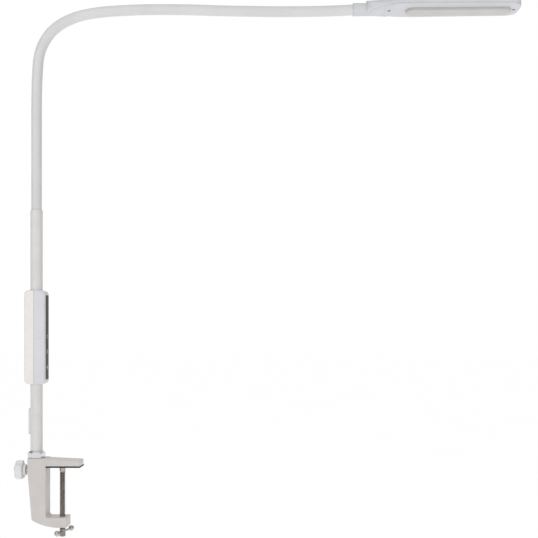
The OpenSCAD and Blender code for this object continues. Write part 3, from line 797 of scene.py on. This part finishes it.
class LAMP_OT_box(LampPiece):
    """Control box: two shells, black touch panel and printed marks"""
    bl_idname = "lamp.box"
    bl_label = "Control box"

    # radius of the corners, place of the seam from the pole's axis, and the seam's gap, in millimetres
    CORNER, SPLIT, GAP = 5.0, -0.8, 0.15
    # screw wells in the rear shell: their radius and depth, and the radius of a screw's head
    WELL_R, WELL_DEPTH, HEAD_R = 2.5 * MM, 2.4 * MM, 2.3 * MM
    # depth of the panel's seat, and the radius of its corners
    SEAT_DEPTH, SEAT_CORNER = 4 * MM, 1.2 * MM

    def shell(self, outline, half_depth, cut_x, keep_rear):
        """One half of the box, cut at the seam and closed there."""
        bm = bmesh.new()
        cushion_slab(bm, outline, half_depth, shape().box_edge, 6)
        bmesh.ops.recalc_face_normals(bm, faces=bm.faces)
        sign = 1 if keep_rear else -1
        cut = bmesh.ops.bisect_plane(bm, geom=bm.verts[:] + bm.edges[:] + bm.faces[:], dist=1e-7,
                                     plane_co=(cut_x, 0, 0), plane_no=(sign, 0, 0), clear_outer=True)
        rim = [g for g in cut["geom_cut"] if isinstance(g, bmesh.types.BMEdge)]
        filled = bmesh.ops.contextual_create(bm, geom=rim)["faces"]
        lip = list({e for f in filled for e in f.edges})
        bmesh.ops.bevel(bm, geom=lip, offset=0.3 * MM, offset_type="OFFSET", segments=2, profile=0.5,
                        affect="EDGES", clamp_overlap=False)
        bmesh.ops.recalc_face_normals(bm, faces=bm.faces)
        return bm

    def build(self):
        rear_lo, rear_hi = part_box("rear_shell")
        front_lo, front_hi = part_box("front_shell")
        outline = rounded_rectangle((rear_lo.x, rear_lo.z), (front_hi.x, front_hi.z), self.CORNER * MM)
        depth = rear_hi.y
        rear = material("abs_rear_shell", moulded_abs, looks().rear_shell)
        front = material("abs_front_shell", moulded_abs, looks().front_shell)
        seam = POLE_X + self.SPLIT * MM
        front_seam = POLE_X + (self.SPLIT + self.GAP) * MM
        rear_half = self.shell(outline, depth, seam, True)
        front_half = self.shell(outline, depth, front_seam, False)
        rear_piece = mesh_piece("rear_shell_abs", rear_half, rear, False)
        front_piece = mesh_piece("front_shell_abs", front_half, front, False)
        panel_lo, panel_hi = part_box("touch_panel")
        seat = bmesh.new()
        bmesh.ops.create_cube(seat, size=1)
        room = 0.2 * MM
        size = Vector((self.SEAT_DEPTH, panel_hi.y - panel_lo.y + room, panel_hi.z - panel_lo.z + room))
        middle = Vector((panel_lo.x + self.SEAT_DEPTH / 2, 0, (panel_lo.z + panel_hi.z) / 2))
        place = Matrix.Translation(middle) @ Matrix.Diagonal(size.to_4d())
        bmesh.ops.transform(seat, matrix=place, verts=seat.verts)
        corners = [e for e in seat.edges if abs(e.verts[0].co.x - e.verts[1].co.x) > 1e-6]
        bmesh.ops.bevel(seat, geom=corners, offset=self.SEAT_CORNER, segments=6, profile=0.5, affect="EDGES")
        drill(front_piece, seat, "panel_seat")
        well = bmesh.new()
        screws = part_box("shell_screws")
        for z in (screws[0].z + self.HEAD_R, screws[1].z - self.HEAD_R):
            turned(well, [(-1 * MM, self.WELL_R), (self.WELL_DEPTH, self.WELL_R)],
                   Matrix.Translation((rear_lo.x, 0, z)) @ Matrix.Rotation(math.pi / 2, 4, "Y"), 40)
        drill(rear_piece, well, "screw_wells")
        attach(rear_piece, "pole", "shell_rear", "rear_shell")
        attach(front_piece, "pole", "shell_front", "front_shell")
        acrylic = material("black_touch_acrylic", black_acrylic)
        panel = rounded_copy("touch_panel", "touch_panel_acrylic", acrylic, 0.3 * MM, 3, 40)
        attach(panel, "pole", "panel_black", "touch_panel")
        self.marks(panel_hi.x)

    def marks(self, face_x):
        """Power, brightness and colour marks: thin rings and bars of ink."""
        ink = material("white_screen_ink", printed_ink)
        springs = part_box("touch_springs")
        spring_r = 2.95 * MM
        lowest, highest = springs[0].z + spring_r, springs[1].z - spring_r
        # the middle key lies a little above half way, 18.2 mm of 36.2 mm
        middle = lowest + (highest - lowest) * 18.2 / 36.2
        bm = bmesh.new()
        facing = Matrix.Rotation(math.pi / 2, 4, "Y")

        def ring(z, r, width, start=0.0, end=TAU, count=40):
            """A flat ring or an open arc of ink."""
            place = Matrix.Translation((face_x, 0, z)) @ facing
            whole = end - start > TAU - 1e-6
            steps = count if whole else count + 1
            section = []
            for i in range(steps):
                a = start + (end - start) * i / count
                out = Vector((math.cos(a), math.sin(a), 0))
                section.append([place @ (out * rr + Vector((0, 0, h)))
                                for rr, h in ((r, -0.05 * MM), (r + width, -0.05 * MM),
                                              (r + width, 0.06 * MM), (r, 0.06 * MM))])
            skin(bm, section, cap=not whole, wrap=whole)

        def bar(z, y, length, width, angle):
            """A straight bar of ink."""
            made = bmesh.ops.create_cube(bm, size=1)["verts"]
            place = (Matrix.Translation((face_x + 0.005 * MM, y, z)) @ Matrix.Rotation(angle, 4, "X")
                     @ Matrix.Diagonal((0.11 * MM, width, length, 1)))
            bmesh.ops.transform(bm, matrix=place, verts=made)

        ring(highest, 1.9 * MM, 0.45 * MM, math.radians(180 + 35), math.radians(180 + 325))
        bar(highest + 1.7 * MM, 0, 2.2 * MM, 0.45 * MM, 0)
        ring(middle, 1.1 * MM, 0.4 * MM)
        for i in range(8):
            a = TAU * i / 8
            bar(middle + 2.3 * MM * math.cos(a), -2.3 * MM * math.sin(a), 0.9 * MM, 0.35 * MM, a)
        ring(lowest, 1.9 * MM, 0.4 * MM)
        ring(lowest, 0.0002 * MM, 0.9 * MM, count=24)
        piece = mesh_piece("touch_marks", bm, ink)
        attach(piece, "pole", "knob_plastic")


class LAMP_OT_neck(LampPiece):
    """Flexible sleeve of the neck, one piece across each joint"""
    bl_idname = "lamp.neck"
    bl_label = "Neck sleeve"

    # points along a half link, and how far a guard point lies from its end
    STEPS = 24
    GUARD = 0.4 * MM
    # share of a half link, on either side of a joint, over which the sleeve bends
    BEND_SHARE = 0.8

    def tree(self):
        """Geometry nodes that draw a tube along a line of edges."""
        tree, given = node_tree("sleeve", {"Radius": "Float", "Sides": "Int"})
        line = put(tree, "GeometryNodeMeshToCurve", {"Mesh": given["Geometry"]})
        section = put(tree, "GeometryNodeCurvePrimitiveCircle", {
            "Resolution": given["Sides"], "Radius": given["Radius"]})
        drawn = put(tree, "GeometryNodeCurveToMesh", {
            "Curve": line.outputs["Curve"], "Profile Curve": section.outputs["Curve"]})
        return end_tree(tree, drawn.outputs["Mesh"], given["Finish"])

    def points(self, first, count):
        """Points along some half links, with a guard point by each end, so that its ring stands square."""
        points = []
        for k in range(first, first + count):
            x, z, heading = LINE[k]
            turn = math.radians(HALF_TURNS[k])
            for i in range(self.STEPS):
                share = i / self.STEPS
                px, pz, _ = walk(x, z, heading, turn * share, HALF_LINK * share)
                points.append(Vector((px, 0, pz)))
        x, z, heading = LINE[first + count]
        points.append(Vector((x, 0, z)))
        tip = Vector((math.sin(heading), 0, math.cos(heading)))
        start = LINE[first][2]
        foot = Vector((math.sin(start), 0, math.cos(start)))
        points.insert(1, points[0] + foot * self.GUARD)
        points.insert(-1, points[-1] - tip * self.GUARD)
        return points

    def build(self):
        sleeve = material("pvc_neck_sleeve", soft_sleeve, looks().sleeve)
        tree = self.tree()
        for j in range(1, NECK_JOINTS + 1):
            points = self.points(2 * j - 2, 2)
            data = bpy.data.meshes.new(f"neck_line_{j}")
            data.from_pydata(points, [(i, i + 1) for i in range(len(points) - 1)], [])
            values = {"Radius": NECK_R, "Sides": 48, "Finish": sleeve}
            piece = grown(f"neck_sleeve_{j}", data, tree, values)
            bm = bmesh.new()
            bm.from_mesh(piece.data)
            bmesh.ops.recalc_face_normals(bm, faces=bm.faces)
            bm.to_mesh(piece.data)
            bm.free()
            wall = piece.modifiers.new("wall", "SOLIDIFY")
            wall.thickness, wall.offset = shape().sleeve_wall, -1
            bpy.context.view_layer.update()
            evaluated(piece)
            piece.data.shade_smooth()
            piece.data.set_sharp_from_angle(angle=math.radians(40))
            if not piece.data.materials:
                piece.data.materials.append(sleeve)
            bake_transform(piece)
            stood_for = [f"neck_jacket_{j}"] + (["neck_jacket_0"] if j == 1 else [])
            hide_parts(*stood_for)
        dress([f"neck_core_{i}" for i in range(NECK_JOINTS + 1)],
              material("spring_steel", plain_metal, "6F6F70", "8C8C8E", 0.3))


class LAMP_OT_head(LampPiece):
    """Light head: top shell, base plate, diffuser and its fixings"""
    bl_idname = "lamp.head"
    bl_label = "Head"

    # shorter edges are facets of a curve, and stay as they are
    SHORTEST_EDGE = 0.7 * MM
    # the diffuser's rim below this height in the head's own frame is rounded
    LENS_RIM = -4 * MM

    def build(self):
        shell = material("abs_head_shell", moulded_abs, looks().head)
        opal = material("opal_diffuser", opal_acrylic, looks().opal)
        top = rounded_copy("top_shell", "top_shell_abs", shell, 0.6 * MM, 3, 32,
                           keep=lambda e: e.calc_length() > self.SHORTEST_EDGE)
        attach(top, "head", "head_shell", "top_shell")
        plate = rounded_copy("base_plate", "base_plate_abs", shell, 0.35 * MM, 2, 40,
                             keep=lambda e: e.calc_length() > self.SHORTEST_EDGE)
        attach(plate, "head", "head_shell", "base_plate")
        to_head = head_place().inverted()
        lens = rounded_copy("diffuser", "diffuser_opal", opal, 1.0 * MM, 4, 60,
                            keep=lambda e: all((to_head @ v.co).z < self.LENS_RIM for v in e.verts))
        attach(lens, "head", "diffuser", "diffuser")
        dress(["plate_screws"], material("dark_steel", plain_metal, "38383A", "5A5A5C", 0.35))


class LAMP_OT_inside(LampPiece):
    """Finishes of the parts inside the box, the pole and the head"""
    bl_idname = "lamp.inside"
    bl_label = "Inner parts"

    def build(self):
        dress(["touch_springs", "neck_stud", "neck_nut"],
              material("plain_brass", plain_metal, "A88A45", "C9AC62", 0.25))
        dress(["pole_lead", "head_lead"], material("pvc_lead", plain_plastic, "19191A", "242426", 0.5))
        dress(["control_board"], material("green_solder_resist", plain_plastic, "0E3D1E", "145028", 0.3))
        dress(["board_parts"], material("black_epoxy", plain_plastic, "141415", "222224", 0.4))
        dress(["light_board"], material("white_faced_aluminium", plain_plastic, "DADADA", "EBEBEB", 0.35))
        dress(["light_chips"], material("phosphor_chips", plain_plastic, "DDBE4A", "EED466", 0.3))
        dress(["reflector"], material("white_reflector", plain_plastic, "EDEDED", "F8F8F8", 0.4))
        dress(["shell_screws"], material("dark_steel", plain_metal, "38383A", "5A5A5C", 0.35))


class LAMP_OT_stage(LampPiece):
    """Camera, floor and soft studio light"""
    bl_idname = "lamp.stage"
    bl_label = "Stage"

    # focal length and sensor width in millimetres, place of the camera, and its vertical shift
    LENS, SENSOR = 59.08, 36.0
    CAMERA = (237.8 * MM, -1030 * MM, 146.5 * MM)
    SHIFT_Y = 0.134
    FLOOR_RADIUS = 40

    def build(self):
        stage = bpy.context.scene.lamp_stage
        camera = bpy.data.objects.new("camera", bpy.data.cameras.new("camera"))
        bpy.context.scene.collection.objects.link(camera)
        camera.location = self.CAMERA
        camera.rotation_euler = (math.pi / 2, 0, 0)
        camera.data.lens, camera.data.sensor_width = self.LENS, self.SENSOR
        camera.data.shift_y = self.SHIFT_Y
        camera.data.clip_start, camera.data.clip_end = 0.05, 60
        bpy.context.scene.camera = camera

        floor_coat = material("pale_lit_floor", lit_floor, stage.floor, stage.sky * 0.9)
        bm = bmesh.new()
        bmesh.ops.create_circle(bm, cap_ends=True, segments=96, radius=self.FLOOR_RADIUS)
        bmesh.ops.translate(bm, verts=bm.verts, vec=(0.2, 0, stage.floor_z))
        floor = mesh_piece("floor", bm, floor_coat, flip_check=False)

        world = bpy.data.worlds.new("even_light")
        bpy.context.scene.world = world
        world.use_nodes = True
        world.node_tree.nodes.clear()
        # the light that falls on the lamp is dimmer to its sides, the backdrop itself stays even
        tree = world.node_tree
        way = put(tree, "ShaderNodeTexCoord")
        parts = put(tree, "ShaderNodeSeparateXYZ", {"Vector": way.outputs["Generated"]})
        aside = put(tree, "ShaderNodeMath", {0: parts.outputs["X"]}, operation="ABSOLUTE")
        lit = put(tree, "ShaderNodeMapRange", {"Value": aside.outputs[0], "From Min": 0.25, "From Max": 0.9,
                                               "To Min": stage.room, "To Max": stage.room * 0.2},
                  interpolation_type="SMOOTHSTEP")
        seen = put(tree, "ShaderNodeLightPath")
        level = put(tree, "ShaderNodeMix", {
            "Factor": seen.outputs["Is Camera Ray"], "A": lit.outputs["Result"], "B": stage.sky},
            data_type="FLOAT")
        sky = put(tree, "ShaderNodeBackground", {"Color": (1, 1, 1, 1), "Strength": level.outputs["Result"]})
        put(tree, "ShaderNodeOutputWorld", {"Surface": sky.outputs[0]})
        bpy.context.scene.view_settings.view_transform = "Standard"

        for name, place, aim, size, power in (
                ("key_light", (-0.7, -1.3, 1.2), (0.1, 0, 0.25), 1.2, stage.key),
                ("fill_light", (1.5, -0.9, 0.5), (0.1, 0, 0.25), 1.0, stage.key * 0.3)):
            lamp = bpy.data.objects.new(name, bpy.data.lights.new(name, "AREA"))
            bpy.context.scene.collection.objects.link(lamp)
            lamp.location = place
            lamp.rotation_euler = (Vector(aim) - Vector(place)).to_track_quat("-Z", "Y").to_euler()
            lamp.data.size, lamp.data.energy = size, power


PIECES = (LAMP_OT_stage, LAMP_OT_clamp, LAMP_OT_screw, LAMP_OT_knob, LAMP_OT_foot, LAMP_OT_pole, LAMP_OT_box,
          LAMP_OT_neck, LAMP_OT_head, LAMP_OT_inside)


class LAMP_PT_panel(bpy.types.Panel):
    """Lists the lamp's pieces in the sidebar"""
    bl_idname = "LAMP_PT_panel"
    bl_label = "Desk Lamp"
    bl_space_type = "VIEW_3D"
    bl_region_type = "UI"
    bl_category = "Desk Lamp"

    def draw(self, context):
        for group in (context.scene.lamp_shape, context.scene.lamp_looks, context.scene.lamp_stage):
            box = self.layout.box()
            for name in group.bl_rna.properties.keys():
                if name not in ("rna_type", "name"):
                    box.prop(group, name)
        for piece in PIECES:
            self.layout.operator(piece.bl_idname)


GROUPS = {"lamp_shape": LampShape, "lamp_looks": LampLooks, "lamp_stage": LampStage}


def register():
    for kind in (*GROUPS.values(), *PIECES, LAMP_PT_panel):
        bpy.utils.register_class(kind)
    for name, kind in GROUPS.items():
        setattr(bpy.types.Scene, name, bpy.props.PointerProperty(type=kind))


def unregister():
    for name in GROUPS:
        delattr(bpy.types.Scene, name)
    for kind in reversed((*GROUPS.values(), *PIECES, LAMP_PT_panel)):
        bpy.utils.unregister_class(kind)


def main():
    register()
    for piece in PIECES:
        group, name = piece.bl_idname.split(".")
        getattr(getattr(bpy.ops, group), name)()


if __name__ == "__main__":
    main()
